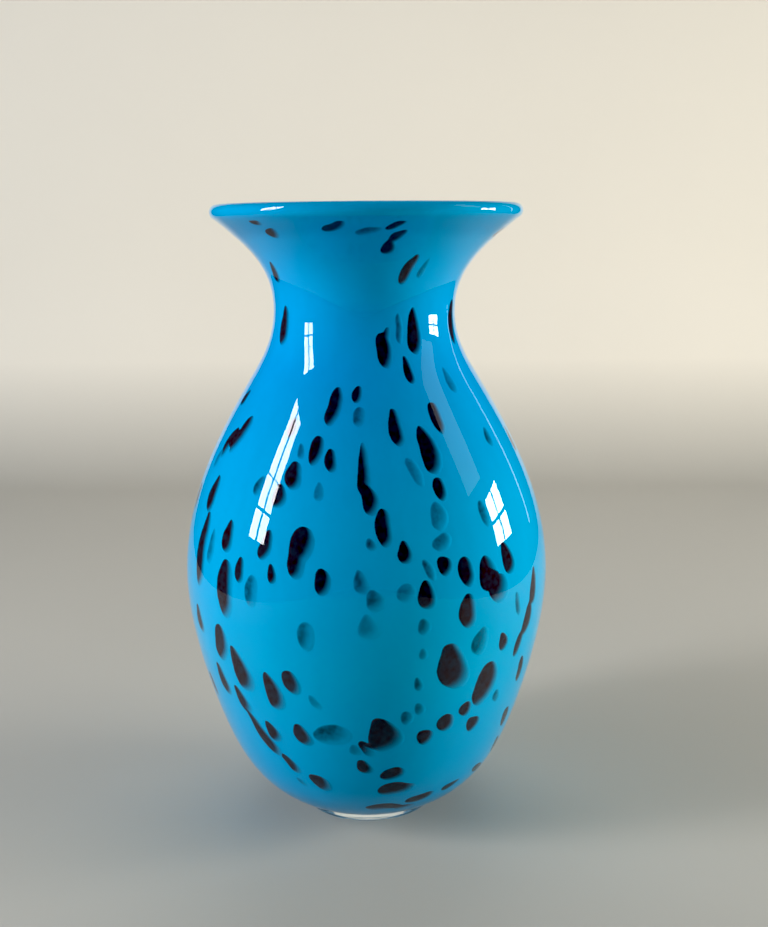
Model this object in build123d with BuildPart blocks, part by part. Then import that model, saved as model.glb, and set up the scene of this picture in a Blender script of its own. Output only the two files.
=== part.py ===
from build123d import *
from math import cos, hypot, pi, radians, sin
import os

os.makedirs("parts", exist_ok=True)

# Overall size of the vase, in millimetres. The axis is Z and the foot stands on Z = 0.
total_height = 300.0
foot_radius = 34.0
lip_radius = 3.5  # the lip is a round bead
lip_centre_radius = 70.2
lip_centre_height = total_height - lip_radius
lip_slope = 33.0  # degrees above level at which the flare runs into the lip

# The wall is blown in layers: clear lining, turquoise colour, clear casing.
body_wall = 4.6  # whole wall from belly to neck
lip_wall = 2 * lip_radius  # whole wall where it meets the lip
swell_start = 262.0  # height above which the wall thickens towards the lip
casing_share = 0.44  # share of the wall taken by the casing, from the outside in
colour_share = 0.30
belly_start = 60.0  # heights at which the rings of the casing meet
shoulder_start = 170.0
neck_start = 232.0

# The thick base: undersides of the layers on the axis, and the clear heel below them.
colour_floor = 6.0
lining_floor = 7.6
cavity_floor = 13.0
heel_height = 9.0
punty_radius = 15.0  # ground and polished hollow where the iron was broken off
punty_depth = 1.5

# Chips of dark glass lie on the colour layer, in a thin space under the casing.
chip_stand = 0.8  # thick chips fill the space under the casing
thin_chip_stand = 0.35
chip_reach = 3.5  # each way, from the colour layer, of the plug that cuts a chip from its skin
chip_taper = 0.18  # how much narrower a chip is at its top, where it was drawn out
chip_unevenness = 0.07
outline_points = 10

# Radius and height of the outside, from the foot up to the flare.
outside_stations = [
    (foot_radius, 0.0),
    (36.2, 3.0),
    (40.2, 6.4),
    (47.4, 11.0),
    (59.6, 22.5),
    (74.6, 52.0),
    (85.5, 90.0),
    (89.4, 123.0),
    (84.8, 155.0),
    (72.5, 187.0),
    (55.3, 218.0),
    (45.6, 237.0),
    (43.4, 250.0),
    (45.2, 263.0),
    (51.4, 274.5),
    (62.2, 285.5),
    (67.6, 290.0),
]
lip_way = (cos(radians(lip_slope)), sin(radians(lip_slope)))
lip_normal = (lip_way[1], -lip_way[0])
lip_meeting = (
    lip_centre_radius + lip_radius * lip_normal[0],
    lip_centre_height + lip_radius * lip_normal[1],
)
outside_edge = Edge.make_spline([Vector(r, 0, z) for r, z in outside_stations + [lip_meeting]])


def outside_at(height):
    """Radius of the outside at a height, with its outward direction (radial, upward)."""
    low, high = 0.0, 1.0
    for step in range(40):
        middle = (low + high) / 2
        if outside_edge.position_at(middle).Z < height:
            low = middle
        else:
            high = middle
    along = outside_edge.tangent_at(low)
    size = hypot(along.X, along.Z)
    return outside_edge.position_at(low).X, along.Z / size, -along.X / size


def wall_at(height):
    """Whole wall thickness, which swells towards the lip."""
    rise = (height - swell_start) / (lip_meeting[1] - swell_start)
    rise = min(max(rise, 0.0), 1.0)
    return body_wall + (lip_wall - body_wall) * rise * rise * (3 - 2 * rise)


def wall_point(height, share, stand=0.0):
    """Point inside the wall, a share of its thickness in, moved outward by stand."""
    radius, out_r, out_z = outside_at(height)
    depth = share * wall_at(height) - stand
    return radius - depth * out_r, height - depth * out_z


bowl_radii = [0.0, 16.0, 32.0]
wall_heights = [level for radius, level in outside_stations[3:]] + [lip_meeting[1]]


def layer_points(share, floor_height, stand=0.0):
    """Half section of one layer boundary: a shallow bowl, then up the wall to the lip."""
    wall = [wall_point(height, share, stand) for height in wall_heights]
    first_radius, first_height = wall[0]
    rise = first_height - floor_height
    bowl = [(radius, floor_height + rise * (radius / first_radius) ** 2.5) for radius in bowl_radii]
    return bowl + wall


def egg_points(long, wide, lean, wobble):
    """Outline of a drawn-out chip: an oval, narrower at the top and a little uneven."""
    points = []
    tilt = radians(lean)
    for index in range(outline_points):
        angle = 2 * pi * index / outline_points
        swell = 1 + chip_unevenness * sin(3 * angle + wobble)
        across = wide / 2 * sin(angle) * (1 - chip_taper * cos(angle)) * swell
        along = long / 2 * cos(angle) * swell
        points.append((across * cos(tilt) + along * sin(tilt), along * cos(tilt) - across * sin(tilt)))
    return points


def chip_plane(turn, height):
    """Plane under the colour layer, X level and Y up the wall. Turn 0 is the front, -Y."""
    radius, level = wall_point(height, casing_share, -chip_reach)
    out_r, out_z = outside_at(height)[1:]
    side, front = sin(radians(turn)), -cos(radians(turn))
    return Plane(
        origin=(radius * side, radius * front, level),
        x_dir=(-front, side, 0),
        z_dir=(out_r * side, out_r * front, out_z),
    )


# Chips row by row up the vase: turn in degrees from the front, height, long, wide, lean in degrees.
lip_chips = [
    (-43, 292, 9, 6, -30), (-39, 286, 8, 6, 45), (-10, 289, 13, 5, 56), (13, 290, 11, 4, 48),
    (15, 285, 10, 5, 42), (12, 280, 9, 6, 5), (77, 287, 9, 5, 20),
]
neck_chips = [
    (25, 271, 17, 5, 18), (-60, 269, 12, 5, 15), (-81, 277, 16, 6, 5), (71, 246, 22, 7, 8),
    (-58, 245, 19, 7, 3), (32, 243, 22, 7, 2), (12, 236, 17, 7, -5), (14, 242, 9, 3, 10),
    (24, 227, 14, 4, -4),
]
shoulder_chips = [
    (-3, 218, 9, 4, 10), (-72, 211, 9, 5, 25), (-13, 213, 19, 6, 8), (32, 207, 16, 6, -6),
    (13, 204, 18, 6, -3), (-30, 203, 10, 5, 0), (-58, 197, 21, 7, 22), (-65, 192, 18, 7, 24),
    (80, 189, 14, 5, 0), (25, 194, 23, 9, -8), (-18, 195, 14, 6, 6), (-12, 191, 11, 5, -8),
]
upper_belly_chips = [
    (-25, 184, 13, 8, -5), (0, 187, 24, 5, -1), (2, 175, 13, 7, -10), (26, 178, 11, 6, -9),
    (-62, 169, 18, 8, 6), (-29, 175, 11, 7, -3), (-79, 163, 14, 6, 4), (6, 164, 17, 7, -4),
    (-47, 154, 15, 7, 4), (-31, 154, 14, 6, 14), (-19, 156, 17, 11, 12), (-20, 149, 16, 8, 8),
    (12, 153, 10, 6, -2),
]
belly_chips = [
    (-61, 144, 36, 9, 3), (48, 143, 16, 8, -16), (24, 146, 9, 7, -20), (31, 142, 14, 8, -12),
    (-40, 141, 12, 5, 3), (-28, 142, 9, 4, -8), (-12, 141, 12, 7, 0), (-46, 131, 27, 11, -2),
    (18, 134, 13, 8, -4), (39, 139, 16, 11, -4), (43, 131, 13, 13, -30), (31, 124, 16, 9, 0),
    (62, 124, 18, 7, 8), (59, 110, 16, 8, 14), (55, 99, 13, 6, 18), (-63, 109, 14, 7, -12),
    (46, 104, 10, 6, -20), (-50, 103, 19, 10, 10),
]
lower_belly_chips = [
    (27, 98, 25, 15, -20), (-42, 92, 23, 11, -17), (61, 83, 15, 6, -8), (-23, 92, 13, 8, -20),
    (-54, 82, 17, 7, -16), (-30, 85, 20, 9, -13), (41, 85, 23, 14, 10), (34, 74, 8, 7, 0),
    (-45, 75, 15, 7, -26), (39, 64, 9, 8, -30), (61, 57, 13, 7, -18), (-22, 64, 13, 8, -22),
    (6, 66, 20, 15, -20), (20, 63, 9, 8, -30), (27, 69, 10, 9, -20), (-39, 58, 26, 7, -30),
    (-34, 62, 12, 7, -22), (0, 59, 11, 5, -30), (-67, 73, 13, 6, -14),
]
base_chips = [
    (-1, 48, 10, 6, -28), (65, 39, 12, 6, -24), (-19, 36, 13, 8, -40), (10, 43, 12, 8, 76),
    (12, 33, 18, 9, 88), (40, 26, 11, 5, 70), (25, 23, 15, 7, 76), (8, 19, 17, 8, 88), (19, 17, 11, 5, 84),
    (-30, 45, 14, 5, -34),
    (57, 29, 14, 6, -60),
]
thin_upper_chips = [
    (3, 287, 13, 5, 72), (34, 271, 12, 3, 14), (22, 245, 15, 3, 0), (-2, 209, 10, 5, 6),
    (57, 195, 10, 5, 0), (-24, 194, 8, 3, -8), (18, 186, 15, 5, -22), (-69, 184, 12, 5, 20),
    (48, 221, 14, 5, -6),
]
thin_belly_chips = [
    (-38, 178, 10, 5, 20), (-15, 178, 9, 4, 0), (24, 167, 13, 8, 0), (41, 165, 13, 5, -8),
    (2, 157, 6, 4, -26), (-55, 147, 17, 5, 4), (19, 145, 11, 4, -24), (-35, 133, 15, 7, 3),
    (-1, 141, 11, 6, -10), (3, 133, 10, 8, -14), (12, 136, 9, 8, 40), (52, 120, 13, 4, -12),
    (1, 121, 12, 9, -6), (17, 120, 8, 6, 0), (-17, 116, 14, 8, 0), (36, 108, 14, 9, 16),
    (17, 107, 6, 4, 0), (24, 156, 10, 7, 60),
]
thin_lower_chips = [
    (-16, 83, 9, 4, -30), (16, 92, 8, 4, -12), (13, 75, 8, 6, -10), (-11, 66, 18, 12, 80),
    (-4, 58, 7, 5, -14), (17, 79, 7, 5, -20), (-28, 34, 7, 3, -36), (48, 75, 8, 5, -20),
]

# The far side carries the same scatter, spread between these turns by fixed steps that never line up.
far_start = 88.0
far_span = 184.0
turn_step = 0.618
long_step = 0.37
wide_step = 0.61
lean_step = 0.23
long_range = (0.6, 1.35)  # of the band's own length and width
wide_range = (0.7, 1.3)
lean_range = (-24.0, 16.0)
far_clearance = 2.5


def between(limits, share):
    """Value a share of the way between two limits, where the share wraps round at one."""
    return limits[0] + (limits[1] - limits[0]) * (share % 1.0)


def surface_gap(chip, other):
    """Rough distance along the wall between the edges of two chips."""
    radius = outside_at((chip[1] + other[1]) / 2)[0]
    turned = (chip[0] - other[0] + 180.0) % 360.0 - 180.0
    across = abs(radians(turned)) * radius / ((chip[3] + other[3]) / 2 + far_clearance)
    along = abs(chip[1] - other[1]) / ((chip[2] + other[2]) / 2 + far_clearance)
    return hypot(across, along) - 1


def far_chips(count, low, high, long, wide, shift):
    """Chips for the far side of one band of the vase, none touching another."""
    chips = []
    for index in range(count):
        chip = (
            far_start + far_span * ((shift + index * turn_step) % 1.0),
            low + (high - low) * (index + 0.5) / count,
            long * between(long_range, index * long_step + shift * 3),
            wide * between(wide_range, index * wide_step),
            between(lean_range, index * lean_step + shift),
        )
        if all(surface_gap(chip, other) > 0 for other in placed_chips):
            chips.append(chip)
            placed_chips.append(chip)
    return chips


def make_layer(outer_share, outer_floor, inner_share, inner_floor, outer_stand=0.0):
    """Revolve the space between two layer boundaries and stop it at the lip bead."""
    with BuildPart() as layer:
        with BuildSketch(Plane.XZ):
            with BuildLine():
                outer = Spline(*layer_points(outer_share, outer_floor, outer_stand))
                inner = Spline(*layer_points(inner_share, inner_floor))
                Line(outer @ 0, inner @ 0)
                Line(outer @ 1, inner @ 1)
            make_face()
            with Locations((lip_centre_radius, lip_centre_height)):
                Circle(lip_radius, mode=Mode.SUBTRACT)
        revolve(axis=Axis.Z)
    return layer


def make_clear_glass(low, high, stand):
    """Clear glass between the outside and the colour layer, from height low to height high."""
    with BuildPart() as clear:
        with BuildSketch(Plane.XZ):
            with BuildLine():
                outer = Spline(*outside_stations, lip_meeting)
                inner = Spline(*layer_points(casing_share, colour_floor - stand, stand))
                Line((0, 0), outer @ 0)
                Line((0, 0), inner @ 0)
                Line(outer @ 1, inner @ 1)
            make_face()
            with Locations((lip_centre_radius, lip_centre_height)):
                Circle(lip_radius, mode=Mode.SUBTRACT)
            with Locations((0, low)):
                Rectangle(total_height, high - low, align=(Align.MIN, Align.MIN), mode=Mode.INTERSECT)
        revolve(axis=Axis.Z)
    return clear


def make_chips(chips, skin):
    """Cut every chip of a list from the skin."""
    with BuildPart() as pieces:
        for number, (turn, height, long, wide, lean) in enumerate(chips):
            with BuildSketch(chip_plane(turn, height)):
                with BuildLine():
                    Spline(*egg_points(long, wide, lean, number * 1.7), periodic=True)
                make_face()
        extrude(amount=2 * chip_reach)
        add(skin.part, mode=Mode.INTERSECT)
    return pieces


def save(piece, name):
    """Name a finished piece and write it out."""
    piece.part.label = name
    export_step(piece.part, f"parts/{name}.step")


# Clear lining: the first gather, which holds the water.
lining_share = casing_share + colour_share
save(make_layer(lining_share, lining_floor, 1.0, cavity_floor), "inner_clear_lining")

# Turquoise colour, rolled on the first gather.
save(make_layer(casing_share, colour_floor, lining_share, lining_floor), "turquoise_colour_layer")

# Clear casing over the colour and the chips, in four rings that follow the hollow inside.
save(make_clear_glass(heel_height, belly_start, chip_stand), "base_casing")
save(make_clear_glass(belly_start, shoulder_start, chip_stand), "belly_casing")
save(make_clear_glass(shoulder_start, neck_start, chip_stand), "shoulder_casing")
save(make_clear_glass(neck_start, total_height, chip_stand), "neck_casing")

# Clear heel, ground flat, with the polished punty hollow underneath.
heel = make_clear_glass(0.0, heel_height, 0.0)
punty_sphere = (punty_radius**2 + punty_depth**2) / (2 * punty_depth)
with BuildPart() as clear_base_heel:
    add(heel.part)
    with Locations((0, 0, punty_depth - punty_sphere)):
        Sphere(punty_sphere, mode=Mode.SUBTRACT)
save(clear_base_heel, "clear_base_heel")

# Rounded lip, where all the layers run together in the fire.
with BuildPart() as lip_bead:
    with BuildSketch(Plane.XZ):
        with Locations((lip_centre_radius, lip_centre_height)):
            Circle(lip_radius)
    revolve(axis=Axis.Z)
save(lip_bead, "lip_bead")

# Chips: near side from the lists, far side from the bands (count, low, high, long, wide, shift).
thick_bands = {
    "lip_chips": (lip_chips, (6, 282, 290, 10, 5, 0.1)),
    "neck_chips": (neck_chips, (12, 226, 276, 15, 5, 0.4)),
    "shoulder_chips": (shoulder_chips, (15, 188, 222, 14, 6, 0.7)),
    "upper_belly_chips": (upper_belly_chips, (18, 152, 186, 14, 7, 0.2)),
    "belly_chips": (belly_chips, (26, 104, 150, 17, 8, 0.5)),
    "lower_belly_chips": (lower_belly_chips, (24, 56, 102, 17, 9, 0.9)),
    "base_chips": (base_chips, (12, 22, 52, 14, 7, 0.3)),
}
thin_bands = {
    "thin_upper_chips": (thin_upper_chips, (14, 190, 280, 11, 5, 0.6)),
    "thin_belly_chips": (thin_belly_chips, (24, 104, 184, 11, 6, 0.8)),
    "thin_lower_chips": (thin_lower_chips, (14, 44, 100, 9, 5, 0.25)),
}
placed_chips = [chip for near, band in (thick_bands | thin_bands).values() for chip in near]
thick_skin = make_layer(casing_share, colour_floor - chip_stand, casing_share, colour_floor, chip_stand)
thin_skin = make_layer(
    casing_share, colour_floor - thin_chip_stand, casing_share, colour_floor, thin_chip_stand
)
for bands, skin in ((thick_bands, thick_skin), (thin_bands, thin_skin)):
    for name, (near, band) in bands.items():
        save(make_chips(near + far_chips(*band), skin), name)
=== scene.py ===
import math
import random

import bmesh
import bpy
import numpy as np
from mathutils import Matrix, Vector, noise
from mathutils.bvhtree import BVHTree
from mathutils.geometry import delaunay_2d_cdt


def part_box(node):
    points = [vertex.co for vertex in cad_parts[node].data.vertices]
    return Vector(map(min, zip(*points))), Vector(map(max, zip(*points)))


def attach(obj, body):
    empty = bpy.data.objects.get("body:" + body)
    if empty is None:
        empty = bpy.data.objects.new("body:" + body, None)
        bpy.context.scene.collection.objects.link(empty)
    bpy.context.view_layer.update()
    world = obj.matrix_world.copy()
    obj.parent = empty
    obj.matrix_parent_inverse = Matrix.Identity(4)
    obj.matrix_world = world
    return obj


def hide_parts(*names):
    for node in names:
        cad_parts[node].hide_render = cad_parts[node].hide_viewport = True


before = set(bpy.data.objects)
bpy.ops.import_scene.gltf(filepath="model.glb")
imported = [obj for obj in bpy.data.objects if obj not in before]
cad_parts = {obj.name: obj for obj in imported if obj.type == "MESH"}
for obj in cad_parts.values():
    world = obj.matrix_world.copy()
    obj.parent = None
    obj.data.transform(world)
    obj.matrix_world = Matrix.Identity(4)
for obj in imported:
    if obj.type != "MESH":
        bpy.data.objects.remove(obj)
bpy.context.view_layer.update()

mm = 0.001
up = Vector((0, 0, 1))


def linearColour(hexText):
    channels = [int(hexText[i:i + 2], 16) / 255 for i in (1, 3, 5)]
    return [c / 12.92 if c <= 0.04045 else ((c + 0.055) / 1.055) ** 2.4 for c in channels] + [1.0]


def newMaterial(name):
    material = bpy.data.materials.new(name)
    material.use_nodes = True
    material.node_tree.nodes.clear()
    return material


def addNode(tree, kind, settings=None, sockets=None):
    # one node: its own settings, then its sockets by name or number, each a value or a socket to link
    node = tree.nodes.new(kind)
    for key, value in (settings or {}).items():
        setattr(node, key, value)
    for key, value in (sockets or {}).items():
        if isinstance(value, bpy.types.NodeSocket):
            tree.links.new(value, node.inputs[key])
        else:
            node.inputs[key].default_value = value
    return node


def addRamp(tree, factor, stops):
    # stops: place from 0 to 1, colour as sRGB hex
    ramp = addNode(tree, "ShaderNodeValToRGB", sockets={"Fac": factor})
    elements = ramp.color_ramp.elements
    while len(elements) < len(stops):
        elements.new(0.5)
    for element, (place, colour) in zip(elements, stops):
        element.position = place
        element.color = linearColour(colour)
    return ramp.outputs["Color"]


def mixColour(tree, factor, first, second, blend="MIX"):
    node = addNode(tree, "ShaderNodeMix", {"data_type": "RGBA", "blend_type": blend},
                   {0: factor, 6: first, 7: second})
    return node.outputs[2]


def addMesh(name, points, faces, materials, standsFor):
    mesh = bpy.data.meshes.new(name)
    mesh.from_pydata([tuple(p) for p in points], [], faces)
    mesh.update()
    piece = bpy.data.objects.new(name, mesh)
    bpy.context.scene.collection.objects.link(piece)
    for material in materials:
        mesh.materials.append(material)
    mesh.shade_smooth()
    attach(piece, "root")
    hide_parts(*standsFor)
    return piece


# where the shown wall departs from the imported model; the numbers are tuned against the picture
shape = {
    "ringGap": 1.3 * mm,        # distance between the rings of a turned surface
    "segments": 288,            # round the vase
    "footEdge": 0.9 * mm,       # rounding at the rim of the ground foot
    "footSlope": 0.73,          # outward run of the clear foot, which lets light straight through it
    "footRise": 6.5 * mm,
    "hollow": 0.5,              # depth of the polished hollow, as a share of the model's
    "clearHeel": 2.6 * mm,      # more clear glass under the colour, in the middle of the foot
    "heelTop": 9 * mm,          # up to here the colour is raised by all of that
    "heelFade": 14 * mm,        # and over this height it comes back to its own place
    "lean": 1.6 * mm,           # the lip sits a little off the axis, to the right
    "leanStart": 0.8,           # share of the height where the lean begins
    "lipCore": 0.76,            # how far the colour fills the lip bead, as a share of its radius
    "lipBlend": 9 * mm,         # below the lip, where the colour layer starts to swell into it
    "ovalness": 0.0016,         # a hand turned form is a little out of round
    "wander": 0.16 * mm,        # slow unevenness of the blown wall
    "wanderSize": 46 * mm,
    "footStill": 12 * mm,       # no unevenness below this height
    "footFade": 40 * mm,        # where it grows in above the foot
    "lipFade": 30 * mm,         # and where it dies away under the lip
}

lipLow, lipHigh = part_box("lip_bead")
lipRadius = (lipHigh.z - lipLow.z) / 2
lipCentre = (lipHigh.x - lipRadius, lipHigh.z - lipRadius)
topHeight = lipHigh.z


def handBlown(point):
    # moves a point by the small unevenness of hand work; the foot stays true and the lip leans aside
    x, y, z = point
    radius = math.hypot(x, y)
    if radius < 1e-6:
        return Vector(point)
    free = min(max((z - shape["footStill"]) / shape["footFade"], 0), 1)
    free *= min(max((topHeight - z) / shape["lipFade"], 0), 1)
    place = Vector((x, y, z)) / shape["wanderSize"] + Vector((3.1, 0.7, 5.2))
    oval = radius * shape["ovalness"] * math.cos(2 * math.atan2(y, x) + 0.9)
    grown = 1 + free * (oval + shape["wander"] * noise.noise(place)) / radius
    start = shape["leanStart"]
    rise = min(max((z / topHeight - start) / (1 - start), 0), 1)
    return Vector((x * grown + shape["lean"] * rise * rise * (3 - 2 * rise), y * grown, z))


def wallRings(node, outward):
    # (radius, height) of the rings on one side of a CAD layer, without the seat of the lip bead
    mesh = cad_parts[node].data
    rings = {}
    for face in mesh.polygons:
        middle = Vector((face.center.x, face.center.y, 0)).normalized()
        facing = face.normal.dot(middle)
        if abs(facing) < 0.004 or (facing > 0) != outward:
            continue
        for index in face.vertices:
            x, y, z = mesh.vertices[index].co
            radius = math.hypot(x, y)
            if math.hypot(radius - lipCentre[0], z - lipCentre[1]) > lipRadius + 0.05 * mm:
                rings[round(z, 5)] = radius
    return [(radius, height) for height, radius in sorted(rings.items())]


def smoothPath(points, gap):
    # a smooth line through the points, with even steps
    spots = np.array(points, float)
    keep = np.concatenate([[True], np.hypot(*np.diff(spots, axis=0).T) > 0.15 * mm])
    spots = spots[keep]
    way = np.concatenate([[0], np.cumsum(np.hypot(*np.diff(spots, axis=0).T))])
    slope = np.gradient(spots, way, axis=0)
    steps = np.linspace(0, way[-1], max(int(way[-1] / gap), 2))
    index = np.clip(np.searchsorted(way, steps, side="right") - 1, 0, len(way) - 2)
    span = (way[index + 1] - way[index])[:, None]
    t = (steps - way[index])[:, None] / span
    return (
        (2 * t**3 - 3 * t**2 + 1) * spots[index] + (t**3 - 2 * t**2 + t) * span * slope[index]
        + (3 * t**2 - 2 * t**3) * spots[index + 1] + (t**3 - t**2) * span * slope[index + 1]
    ).tolist()


def arcPoints(centre, radius, start, end, count):
    turns = [math.radians(start + (end - start) * i / (count - 1)) for i in range(count)]
    return [(centre[0] + radius * math.cos(t), centre[1] + radius * math.sin(t)) for t in turns]


def turnedMesh(path):
    # spins a half section about Z; points on the axis become single poles
    count = shape["segments"]
    points, faces, rows = [], [], []
    for radius, height in path:
        if radius < 0.01 * mm:
            rows.append([len(points)])
            points.append(Vector((0, 0, height)))
            continue
        rows.append(list(range(len(points), len(points) + count)))
        for index in range(count):
            turn = 2 * math.pi * index / count
            points.append(handBlown((radius * math.cos(turn), radius * math.sin(turn), height)))
    for low, high in zip(rows, rows[1:]):
        for index in range(count):
            after = (index + 1) % count
            if len(low) == 1 and len(high) > 1:
                faces.append((low[0], high[after], high[index]))
            elif len(high) == 1 and len(low) > 1:
                faces.append((low[index], low[after], high[0]))
            elif len(low) > 1:
                faces.append((low[index], low[after], high[after], high[index]))
    return points, faces


casingNodes = sorted(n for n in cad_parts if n.endswith("_casing"))
casingOut = sorted((p for n in casingNodes for p in wallRings(n, True)), key=lambda p: p[1])
heelOut = [p for p in wallRings("clear_base_heel", True) if p[0] > 25 * mm]
colourOut = wallRings("turquoise_colour_layer", True)
colourIn = wallRings("turquoise_colour_layer", False)
cavityWall = wallRings("inner_clear_lining", False)
print("wall rings:", len(casingOut), len(heelOut), len(colourOut), len(colourIn), len(cavityWall))


# clear glass: casing, lining, heel and lip, fused into one mass as in the real wall
glass = {
    "tint": "#f2fbff",          # almost colourless, the faintest cool cast
    "roughness": 0.0,           # fire polished
    "index": 1.5,
    "shine": 0.15,              # lower than real glass, so the floor and wall do not veil the colour
    "waveSize": 22 * mm,        # slow waves left by the blowing
    "waveDepth": 0.05 * mm,
    "groundTint": "#f4f6f4",
    "groundRoughness": 0.2,     # the flat foot is ground, then rubbed smooth
    "groundClear": 0.8,         # and a little frosted
    "groundRing": (15 * mm, 32 * mm),
    "scratchSize": 0.8 * mm,
    "scratchDepth": 0.03 * mm,
}


def openToLight(tree, shader):
    # light reaches the colour straight through the clear glass: the colour stays bright, with no noise
    path = addNode(tree, "ShaderNodeLightPath")
    clear = addNode(tree, "ShaderNodeBsdfTransparent")
    inner = addNode(tree, "ShaderNodeMixShader",
                    sockets={0: path.outputs["Is Diffuse Ray"], 1: shader, 2: clear.outputs[0]})
    outer = addNode(tree, "ShaderNodeMixShader",
                    sockets={0: path.outputs["Is Shadow Ray"], 1: inner.outputs[0], 2: clear.outputs[0]})
    addNode(tree, "ShaderNodeOutputMaterial", sockets={"Surface": outer.outputs[0]})


def firePolishedGlass():
    # noise bump, wide and shallow: bends the window reflections a little, as on a hand blown wall
    material = newMaterial("firePolishedClearGlass")
    tree = material.node_tree
    place = addNode(tree, "ShaderNodeTexCoord").outputs["Object"]
    stretch = addNode(tree, "ShaderNodeMapping",
                      sockets={"Vector": place, "Scale": (1 / glass["waveSize"], 1 / glass["waveSize"],
                                                          0.45 / glass["waveSize"])})
    waves = addNode(tree, "ShaderNodeTexNoise",
                    sockets={"Vector": stretch.outputs[0], "Scale": 1.0, "Detail": 1.5, "Roughness": 0.4})
    bump = addNode(tree, "ShaderNodeBump", sockets={
        "Strength": 1.0, "Distance": glass["waveDepth"], "Height": waves.outputs["Fac"]})
    surface = addNode(tree, "ShaderNodeBsdfPrincipled", sockets={
        "Base Color": linearColour(glass["tint"]), "Roughness": glass["roughness"], "IOR": glass["index"],
        "Transmission Weight": 1.0, "Specular IOR Level": glass["shine"], "Normal": bump.outputs[0]})
    openToLight(tree, surface.outputs[0])
    return material


def groundFootGlass():
    # fine noise bump and a rough surface: the matt ring that the vase stands on
    material = newMaterial("groundFootGlass")
    tree = material.node_tree
    place = addNode(tree, "ShaderNodeTexCoord").outputs["Object"]
    scratches = addNode(tree, "ShaderNodeTexNoise", sockets={
        "Vector": place, "Scale": 1 / glass["scratchSize"], "Detail": 4.0, "Roughness": 0.7})
    bump = addNode(tree, "ShaderNodeBump", sockets={
        "Strength": 1.0, "Distance": glass["scratchDepth"], "Height": scratches.outputs["Fac"]})
    surface = addNode(tree, "ShaderNodeBsdfPrincipled", sockets={
        "Base Color": linearColour(glass["groundTint"]), "Roughness": glass["groundRoughness"],
        "IOR": glass["index"], "Transmission Weight": glass["groundClear"], "Normal": bump.outputs[0]})
    openToLight(tree, surface.outputs[0])
    return material


def glassPath():
    # half section: polished hollow, ground foot, outside, lip, inside down to the cavity floor
    under = [v.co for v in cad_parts["clear_base_heel"].data.vertices]
    footRing = [math.hypot(v.x, v.y) for v in under if abs(v.z) < 0.01 * mm]
    inner, outer = min(r for r in footRing if r > 8 * mm), max(footRing)
    depth = max(v.z for v in under if math.hypot(v.x, v.y) < inner - 0.5 * mm and v.z < 3 * mm)
    edge = shape["footEdge"]
    hollow = [(inner * i / 14, shape["hollow"] * depth * (1 - (i / 14) ** 2)) for i in range(15)]
    flat = [(inner + (outer - edge - inner) * i / 12, 0.0) for i in range(1, 13)]
    rim = arcPoints((outer - edge, edge), edge, -80, -20, 4)
    foot = [(outer + shape["footSlope"] * z, z) for z in np.linspace(2 * edge, shape["footRise"], 4)]
    above = [p for p in heelOut[:-1] + casingOut if p[1] > shape["footRise"] + 3 * mm]
    wall = smoothPath(foot + above, shape["ringGap"])
    lip = arcPoints(lipCentre, lipRadius, -52, 118, 20)
    inside = smoothPath([(0.0, cavityWall[0][1])] + cavityWall, shape["ringGap"])[::-1]
    return hollow + flat + rim + wall + lip + [p for p in inside if p[1] < lipCentre[1] + 2.6 * mm]


points, faces = turnedMesh(glassPath())
clearGlass = addMesh("clearGlass", points, faces, [firePolishedGlass(), groundFootGlass()],
                     casingNodes + ["clear_base_heel", "inner_clear_lining", "lip_bead"])
for face in clearGlass.data.polygons:
    reach = math.hypot(face.center.x, face.center.y)
    if face.center.z < 0.3 * mm and glass["groundRing"][0] < reach < glass["groundRing"][1]:
        face.material_index = 1
print("clear glass:", len(points), "points")


# turquoise colour layer, inside the clear glass
colour = {
    # up the vase: share of the height and the enamel's hue there
    "hues": [(0.0, "#0593cf"), (0.12, "#05a2d8"), (0.33, "#05aedf"), (0.55, "#05a9e0"), (0.75, "#059fe0"),
             (1.0, "#05a6d9")],
    "cloud": "#0588cc",         # where the colour was gathered thicker
    "cloudShare": 0.1,
    "cloudSize": 60 * mm,
    "streakSize": 7 * mm,       # fine streaks drawn up the wall
    "streakShare": 0.02,
    "grainSize": 0.9 * mm,      # crushed colour, melted almost smooth
    "grainShare": 0.012,
    "roughness": 0.55,
}


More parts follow.
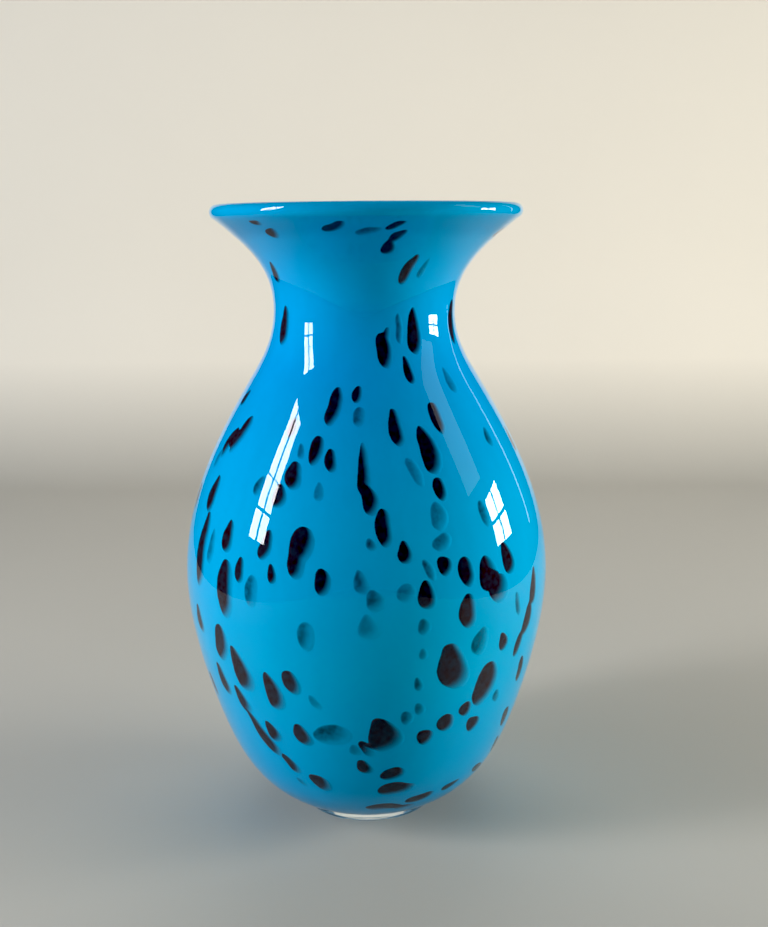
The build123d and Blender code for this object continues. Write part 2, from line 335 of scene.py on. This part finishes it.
def turquoiseColour(tree):
    # hue by height, noise clouds, noise streaks drawn upward and a fine grain: colour rolled on by hand
    place = addNode(tree, "ShaderNodeTexCoord").outputs["Object"]
    height = addNode(tree, "ShaderNodeSeparateXYZ", sockets={0: place}).outputs["Z"]
    level = addNode(tree, "ShaderNodeMapRange", sockets={"Value": height, "From Max": topHeight}).outputs[0]
    base = addRamp(tree, level, colour["hues"])
    clouds = addNode(tree, "ShaderNodeTexNoise", sockets={
        "Vector": place, "Scale": 1 / colour["cloudSize"], "Detail": 2.0, "Roughness": 0.5})
    cloudy = addNode(tree, "ShaderNodeMapRange", sockets={
        "Value": clouds.outputs["Fac"], "From Min": 0.42, "From Max": 0.68, "To Max": colour["cloudShare"]})
    base = mixColour(tree, cloudy.outputs[0], base, linearColour(colour["cloud"]))
    drawn = addNode(tree, "ShaderNodeMapping", sockets={
        "Vector": place, "Scale": (1 / colour["streakSize"], 1 / colour["streakSize"],
                                   0.12 / colour["streakSize"])})
    streaks = addNode(tree, "ShaderNodeTexNoise", sockets={
        "Vector": drawn.outputs[0], "Scale": 1.0, "Detail": 3.0, "Roughness": 0.55})
    streaky = addNode(tree, "ShaderNodeMapRange", sockets={
        "Value": streaks.outputs["Fac"], "From Min": 0.3, "From Max": 0.7,
        "To Min": 1 - colour["streakShare"], "To Max": 1 + colour["streakShare"]})
    base = mixColour(tree, 1.0, base, streaky.outputs[0], "MULTIPLY")
    grains = addNode(tree, "ShaderNodeTexNoise", sockets={
        "Vector": place, "Scale": 1 / colour["grainSize"], "Detail": 2.0, "Roughness": 0.6})
    grainy = addNode(tree, "ShaderNodeMapRange", sockets={
        "Value": grains.outputs["Fac"], "From Min": 0.3, "From Max": 0.7,
        "To Min": 1 - colour["grainShare"], "To Max": 1 + colour["grainShare"]})
    return mixColour(tree, 1.0, base, grainy.outputs[0], "MULTIPLY")


def rolledEnamel():
    # no shine of its own: all of the gloss is on the clear glass over it
    material = newMaterial("rolledTurquoiseEnamel")
    tree = material.node_tree
    surface = addNode(tree, "ShaderNodeBsdfPrincipled", sockets={
        "Base Color": turquoiseColour(tree), "Roughness": colour["roughness"], "Specular IOR Level": 0.0})
    addNode(tree, "ShaderNodeOutputMaterial", sockets={"Surface": surface.outputs[0]})
    return material


def colourPath():
    # up the outside of the layer, round the core of the lip and down the inside
    def raised(rings):
        shares = [max(0, 1 - max(0, z - shape["heelTop"]) / shape["heelFade"]) for r, z in rings]
        return [(r, z + shape["clearHeel"] * share) for (r, z), share in zip(rings, shares)]

    reach = lipCentre[1] - shape["lipBlend"]
    under, over = raised(colourOut), raised(colourIn)
    outside = [(0.0, under[0][1])] + [p for p in under if p[1] < reach]
    core = arcPoints(lipCentre, lipRadius * shape["lipCore"], -60, 125, 15)
    inside = ([(0.0, over[0][1])] + [p for p in over if p[1] < reach + 4 * mm])[::-1]
    return smoothPath(outside + core + inside, shape["ringGap"])


points, faces = turnedMesh(colourPath())
colourLayer = addMesh("colourLayer", points, faces, [rolledEnamel()],
                      ["turquoise_colour_layer"])
colourSurface = BVHTree.FromPolygons(points, faces)
print("colour layer:", len(points), "points")


# dark chips, melted flat on the colour layer under the casing
chips = {
    "gap": 0.6 * mm,            # between the points of a chip
    "lift": 0.3 * mm,           # a chip stands this far out of the colour, like a low lens
    "shoulder": 1.8 * mm,       # from its edge to its full height
    "sunk": 0.5 * mm,           # underside, inside the colour layer
    "softSide": (0.85, -0.53),  # across and up the wall: the side, to the right and down, where each chip fades out softly
    "melt": 0.35 * mm,          # the softened edge all round
    "spread": 0.8 * mm,         # how far the soft side runs out past the chip
    "uneven": 0.22 * mm,
    "unevenSize": 3.2 * mm,
    "dark": {"crisp": 0.45 * mm, "feather": 0.5, "most": (1.0, 1.0), "colour": "#38201f",
             "patch": 0.04},
    "thin": {"crisp": 1.1 * mm, "feather": 0.85, "most": (0.55, 0.95), "colour": "#12262c",
             "patch": 0.25},
    "patchSize": 2.6 * mm,      # thick and thin places inside one chip
    "thinEdge": 0.06,           # density left at the very edge of the soft side
    "rowGap": 0.87,             # rows of an even triangle grid, as a share of the gap
    "bury": 0.04 * mm,          # the edge lies just under the colour's surface
}


def chipGlass(name, kind):
    # the chip's density, stored on its points, runs the colour from the wall's turquoise to the dark glass
    material = newMaterial(name)
    tree = material.node_tree
    density = addNode(tree, "ShaderNodeAttribute", {"attribute_name": "chipDensity"}).outputs["Fac"]
    place = addNode(tree, "ShaderNodeTexCoord").outputs["Object"]
    patches = addNode(tree, "ShaderNodeTexNoise", sockets={
        "Vector": place, "Scale": 1 / chips["patchSize"], "Detail": 2.0, "Roughness": 0.5})
    patchy = addNode(tree, "ShaderNodeMapRange", sockets={
        "Value": patches.outputs["Fac"], "From Min": 0.35, "From Max": 0.65,
        "To Min": 1 - kind["patch"], "To Max": 1.0})
    share = addNode(tree, "ShaderNodeMath", {"operation": "MULTIPLY"},
                    {0: density, 1: patchy.outputs[0]}).outputs[0]
    base = mixColour(tree, share, turquoiseColour(tree), linearColour(kind["colour"]))
    surface = addNode(tree, "ShaderNodeBsdfPrincipled", sockets={
        "Base Color": base, "Roughness": colour["roughness"], "Specular IOR Level": 0.0})
    addNode(tree, "ShaderNodeOutputMaterial", sockets={"Surface": surface.outputs[0]})
    return material


def chipEdges(node):
    # the outer edge of every chip in a CAD node, each with a frame on the wall: middle, across, up, out
    net = bmesh.new()
    net.from_mesh(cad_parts[node].data)
    bmesh.ops.remove_doubles(net, verts=net.verts, dist=0.002 * mm)
    found, left = [], set(net.verts)
    while left:
        island, waiting = [], [left.pop()]
        while waiting:
            vert = waiting.pop()
            island.append(vert)
            for edge in vert.link_edges:
                other = edge.other_vert(vert)
                if other in left:
                    left.remove(other)
                    waiting.append(other)
        middle = sum((v.co for v in island), Vector()) / len(island)
        out = colourSurface.find_nearest(middle)[1]
        across = up.cross(out).normalized()
        outer = set()
        for face in {f for v in island for f in v.link_faces}:
            if face.normal.dot(colourSurface.find_nearest(face.calc_center_median())[1]) > 0.6:
                outer.add(face)
        ring = {}
        for face in outer:
            for loop in face.loops:
                if sum(f in outer for f in loop.edge.link_faces) == 1:
                    ring[loop.vert] = loop.link_loop_next.vert
        start = max(ring, key=lambda v: (v.co - middle).length)
        line, here = [start.co.copy()], ring[start]
        while here != start and here in ring and len(line) <= len(ring):
            line.append(here.co.copy())
            here = ring[here]
        found.append((line, (middle, across, out.cross(across), out)))
    net.free()
    return sorted(found, key=lambda item: (round(item[1][0].z, 5), round(item[1][0].x, 5)))


def evenLoop(line, gap):
    way = np.vstack([line, line[:1]])
    along = np.concatenate([[0], np.cumsum(np.hypot(*np.diff(way, axis=0).T))])
    count = max(int(along[-1] / gap), 14)
    steps = np.linspace(0, along[-1], count, endpoint=False)
    return np.column_stack([np.interp(steps, along, way[:, 0]), np.interp(steps, along, way[:, 1])])


def outwardOf(loop):
    turn = np.roll(loop, -1, axis=0) - np.roll(loop, 1, axis=0)
    normal = np.column_stack([turn[:, 1], -turn[:, 0]])
    return normal / np.maximum(np.hypot(*normal.T), 1e-9)[:, None]


def edgeDistance(spots, loop):
    start, span = loop, np.roll(loop, -1, axis=0) - loop
    away = spots[:, None, :] - start[None]
    share = np.clip((away * span).sum(2) / (span * span).sum(1), 0, 1)
    return np.hypot(*(away - share[:, :, None] * span).transpose(2, 0, 1)).min(1)


def wayOut(spots, loop, direction):
    # how far each spot is from the loop along a direction
    span = np.roll(loop, -1, axis=0) - loop
    away = loop[None] - spots[:, None, :]
    cross = direction[0] * span[:, 1] - direction[1] * span[:, 0]
    cross = np.where(np.abs(cross) < 1e-12, 1e-12, cross)
    far = (away[:, :, 0] * span[:, 1] - away[:, :, 1] * span[:, 0]) / cross
    share = (away[:, :, 0] * direction[1] - away[:, :, 1] * direction[0]) / cross
    far = np.where((share >= 0) & (share <= 1) & (far > 0), far, np.inf).min(1)
    return np.where(np.isfinite(far), far, 0)


def smoothStep(value):
    value = np.clip(value, 0, 1)
    return value * value * (3 - 2 * value)


def chipPiece(line, place, kind, chance):
    middle, across, upward, out = place
    flat = np.array([((p - middle).dot(across), (p - middle).dot(upward)) for p in line])
    if (flat[:, 0] * np.roll(flat[:, 1], -1) - flat[:, 1] * np.roll(flat[:, 0], -1)).sum() < 0:
        flat = flat[::-1]
    loop = evenLoop(flat, chips["gap"])
    for step in range(4):
        loop = 0.5 * loop + 0.25 * (np.roll(loop, 1, axis=0) + np.roll(loop, -1, axis=0))
    outward = outwardOf(loop)
    soft = np.array(chips["softSide"])
    shift = chance.uniform(0, 50)
    size = chips["unevenSize"]
    wobble = np.array([noise.noise(Vector((x / size, y / size, shift))) for x, y in loop])
    # the soft side, to the lower right, runs further out; there the dark fades slowly into the turquoise
    softRunOut = chips["spread"] * np.clip(outward @ soft, 0, 1)
    grow = chips["melt"] + chips["uneven"] * wobble + softRunOut
    loop = evenLoop(loop + outward * grow[:, None], chips["gap"])
    low, high, gap = loop.min(0), loop.max(0), chips["gap"]
    grid = [
        (x + (row % 2) * gap / 2, y)
        for row, y in enumerate(np.arange(low[1], high[1], gap * chips["rowGap"]))
        for x in np.arange(low[0], high[0], gap)
    ]
    spots, faces = delaunay_2d_cdt(
        [Vector(p) for p in np.vstack([loop, grid])], [], [list(range(len(loop)))], 1, 1e-7)[0:3:2]
    spots = np.array([tuple(p) for p in spots])
    used = sorted({i for face in faces for i in face})
    number = {old: new for new, old in enumerate(used)}
    spots = spots[used]
    faces = [tuple(number[i] for i in face) for face in faces]
    edge = edgeDistance(spots, loop)
    reach = wayOut(spots, loop, soft)
    wide = np.percentile(reach, 95)
    density = smoothStep(edge / kind["crisp"])
    density = density * smoothStep(reach / (kind["feather"] * wide) + chips["thinEdge"])
    density = density * chance.uniform(*kind["most"])
    lift = chips["lift"] * smoothStep(edge / chips["shoulder"]) - chips["bury"]
    top, under = [], []
    for (x, y), rise in zip(spots, lift):
        origin = middle + across * x + upward * y
        hit, normal = colourSurface.ray_cast(origin + out * 6 * mm, -out)[:2]
        if hit is None:
            hit, normal = colourSurface.find_nearest(origin)[:2]
        top.append(hit + normal * rise)
        under.append(hit - normal * chips["sunk"])
    count = len(top)
    sides = []
    border = {}
    for face in faces:
        for a, b in zip(face, face[1:] + face[:1]):
            border[(a, b)] = border.get((a, b), 0) + 1
    for a, b in border:
        if (b, a) not in border:
            sides.append((b, a, count + a, count + b))
    below = [tuple(count + i for i in face[::-1]) for face in faces]
    return top + under, faces + sides + below, list(density) + [0.0] * count


darkGlass = chipGlass("meltedDarkChipGlass", chips["dark"])
thinGlass = chipGlass("thinDrawnChipGlass", chips["thin"])
for node in sorted(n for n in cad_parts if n.endswith("_chips")):
    thin = node.startswith("thin")
    chance = random.Random(len(node) * 7 + 3)
    allPoints, allFaces, allDensity = [], [], []
    for line, place in chipEdges(node):
        points, faces, density = chipPiece(line, place, chips["thin" if thin else "dark"], chance)
        first = len(allPoints)
        allPoints += points
        allFaces += [tuple(first + i for i in face) for face in faces]
        allDensity += density
    first, second, *rest = node.split("_")
    name = first + second.capitalize() + "".join(word.capitalize() for word in rest)
    piece = addMesh(name, allPoints, allFaces, [thinGlass if thin else darkGlass],
                    [node])
    layer = piece.data.attributes.new("chipDensity", "FLOAT", "POINT")
    layer.data.foreach_set("value", np.array(allDensity, np.float32))
    print("chips:", name, len(allPoints), "points")


# a plain pale floor that turns up into the backdrop
stage = {
    "floor": "#b9b5ad",
    "wall": "#eae2d5",
    "change": 0.12,             # height over which the floor's colour turns into the wall's
    "width": 1.15,              # no wider, so that its edges don't show as pale bands in the glass
    "front": -6.0,
    "back": 0.95,
    "bend": 0.25,
    "height": 2.2,
}


def paleBackdrop():
    # very faint noise in the colour: plain painted board
    material = newMaterial("palePaintedBoard")
    tree = material.node_tree
    place = addNode(tree, "ShaderNodeTexCoord").outputs["Object"]
    mottle = addNode(tree, "ShaderNodeTexNoise", sockets={"Vector": place, "Scale": 3.0, "Detail": 4.0})
    base = addNode(tree, "ShaderNodeMapRange", sockets={
        "Value": mottle.outputs["Fac"], "To Min": 0.98, "To Max": 1.02})
    height = addNode(tree, "ShaderNodeSeparateXYZ", sockets={0: place}).outputs["Z"]
    level = addNode(tree, "ShaderNodeMapRange", sockets={"Value": height, "From Max": stage["change"]})
    board = addRamp(tree, level.outputs[0], [(0.0, stage["floor"]), (1.0, stage["wall"])])
    tinted = mixColour(tree, 1.0, board, base.outputs[0], "MULTIPLY")
    surface = addNode(tree, "ShaderNodeBsdfPrincipled", sockets={
        "Base Color": tinted, "Roughness": 0.7, "Specular IOR Level": 0.2})
    addNode(tree, "ShaderNodeOutputMaterial", sockets={"Surface": surface.outputs[0]})
    return material


bend = stage["bend"]
sweep = [(stage["front"], 0.0)]
sweep += [(stage["back"] - bend + x, z) for x, z in arcPoints((0, bend), bend, -90, 0, 17)]
sweep += [(stage["back"], stage["height"])]
half = stage["width"] / 2
mesh = bpy.data.meshes.new("backdrop")
mesh.from_pydata([(x, y, z) for y, z in sweep for x in (-half, half)], [],
                 [(2 * i, 2 * i + 1, 2 * i + 3, 2 * i + 2) for i in range(len(sweep) - 1)])
mesh.materials.append(paleBackdrop())
mesh.shade_smooth()
backdrop = bpy.data.objects.new("backdrop", mesh)
bpy.context.scene.collection.objects.link(backdrop)


# soft light from both sides, brighter than the front, and a dim room
lights = {
    # name: turn from the front, height, distance, width, height of the lamp, watts, seen in the glass
    "leftSoft": (-76, 0.42, 1.5, 0.9, 0.8, 14.5, False),
    "rightSoft": (82, 0.42, 1.5, 0.9, 0.8, 17.5, False),
    "frontSoft": (8, 0.2, 1.6, 1.0, 0.5, 1.0, False),
    "backSoft": (178, 1.1, 0.55, 0.9, 0.3, 3.0, False),
    "rightCurtain": (83, 1.0, 1.2, 0.4, 0.75, 1.1, True),
    "rightDoorway": (128, 0.5, 1.4, 0.05, 0.9, 0.25, True),
    "room": "#2e2d2c",
    "tints": {"leftSoft": "#e6f2ff", "rightSoft": "#fffff2"},
    "aimLow": 0.15,             # the lamps look at this height on the axis
    "aimRise": 0.35,            # and up from there by this share of their own height above it
    "blackLevel": (0.026, 0.018, 0.014),    # a phone camera's deep shadows, and no red left in strong cyan
    # the window each side: turn, height, distance, pane width, pane height, across, up, gap, watts
    "leftWindow": (-71, 0.74, 1.2, 0.11, 0.19, 2, 4, 0.03, 1.2),
    "rightWindow": (95, 0.33, 1.2, 0.15, 0.14, 2, 2, 0.025, 1.3),
}


def addLamp(name, turn, height, distance, width, tall, watts, seen, aside=0.0):
    lamp = bpy.data.lights.new(name, "AREA")
    lamp.shape = "RECTANGLE"
    lamp.size, lamp.size_y, lamp.energy = width, tall, watts
    lamp.color = linearColour(lights["tints"].get(name, "#ffffff"))[:3]
    holder = bpy.data.objects.new(name, lamp)
    side, front = math.sin(math.radians(turn)), -math.cos(math.radians(turn))
    place = Vector((side * distance - front * aside, front * distance + side * aside, height))
    level = lights["aimLow"] + (height - lights["aimLow"]) * lights["aimRise"]
    aim = Vector((-front * aside, side * aside, level)) - place
    holder.matrix_world = Matrix.Translation(place) @ aim.to_track_quat("-Z", "Y").to_matrix().to_4x4()
    holder.visible_glossy = seen
    bpy.context.scene.collection.objects.link(holder)


for name in ("leftSoft", "rightSoft", "frontSoft", "backSoft", "rightCurtain", "rightDoorway"):
    addLamp(name, *lights[name])
for name in ("leftWindow", "rightWindow"):
    turn, height, distance, width, tall, wide, high, gap, watts = lights[name]
    for row in range(high):
        for column in range(wide):
            aside = (column - (wide - 1) / 2) * (width + gap)
            level = height + (row - (high - 1) / 2) * (tall + gap)
            addLamp(f"{name}{row}{column}", turn, level, distance, width, tall, watts, True, aside)

world = bpy.data.worlds.new("dimRoom")
world.use_nodes = True
world.node_tree.nodes["Background"].inputs["Color"].default_value = linearColour(lights["room"])
bpy.context.scene.world = world
viewing = bpy.context.scene.view_settings
viewing.view_transform = "Standard"
viewing.use_curve_mapping = True
viewing.curve_mapping.black_level = lights["blackLevel"]

# the camera, at the height of the lip and looking down a little; fitted to the vase's outline
view = {"place": (9.07 * mm, -552.1 * mm, 289.7 * mm), "down": 11.78, "roll": -0.43, "lens": 44.23}
camera = bpy.data.objects.new("camera", bpy.data.cameras.new("camera"))
camera.data.lens = view["lens"]
camera.data.clip_start = 0.02
bpy.context.scene.collection.objects.link(camera)
bpy.context.scene.camera = camera
aim = Matrix.Rotation(math.radians(90 - view["down"]), 4, "X")
roll = Matrix.Rotation(math.radians(view["roll"]), 4, "Z")
camera.matrix_world = Matrix.Translation(view["place"]) @ aim @ roll
print("stage, lights and camera set")
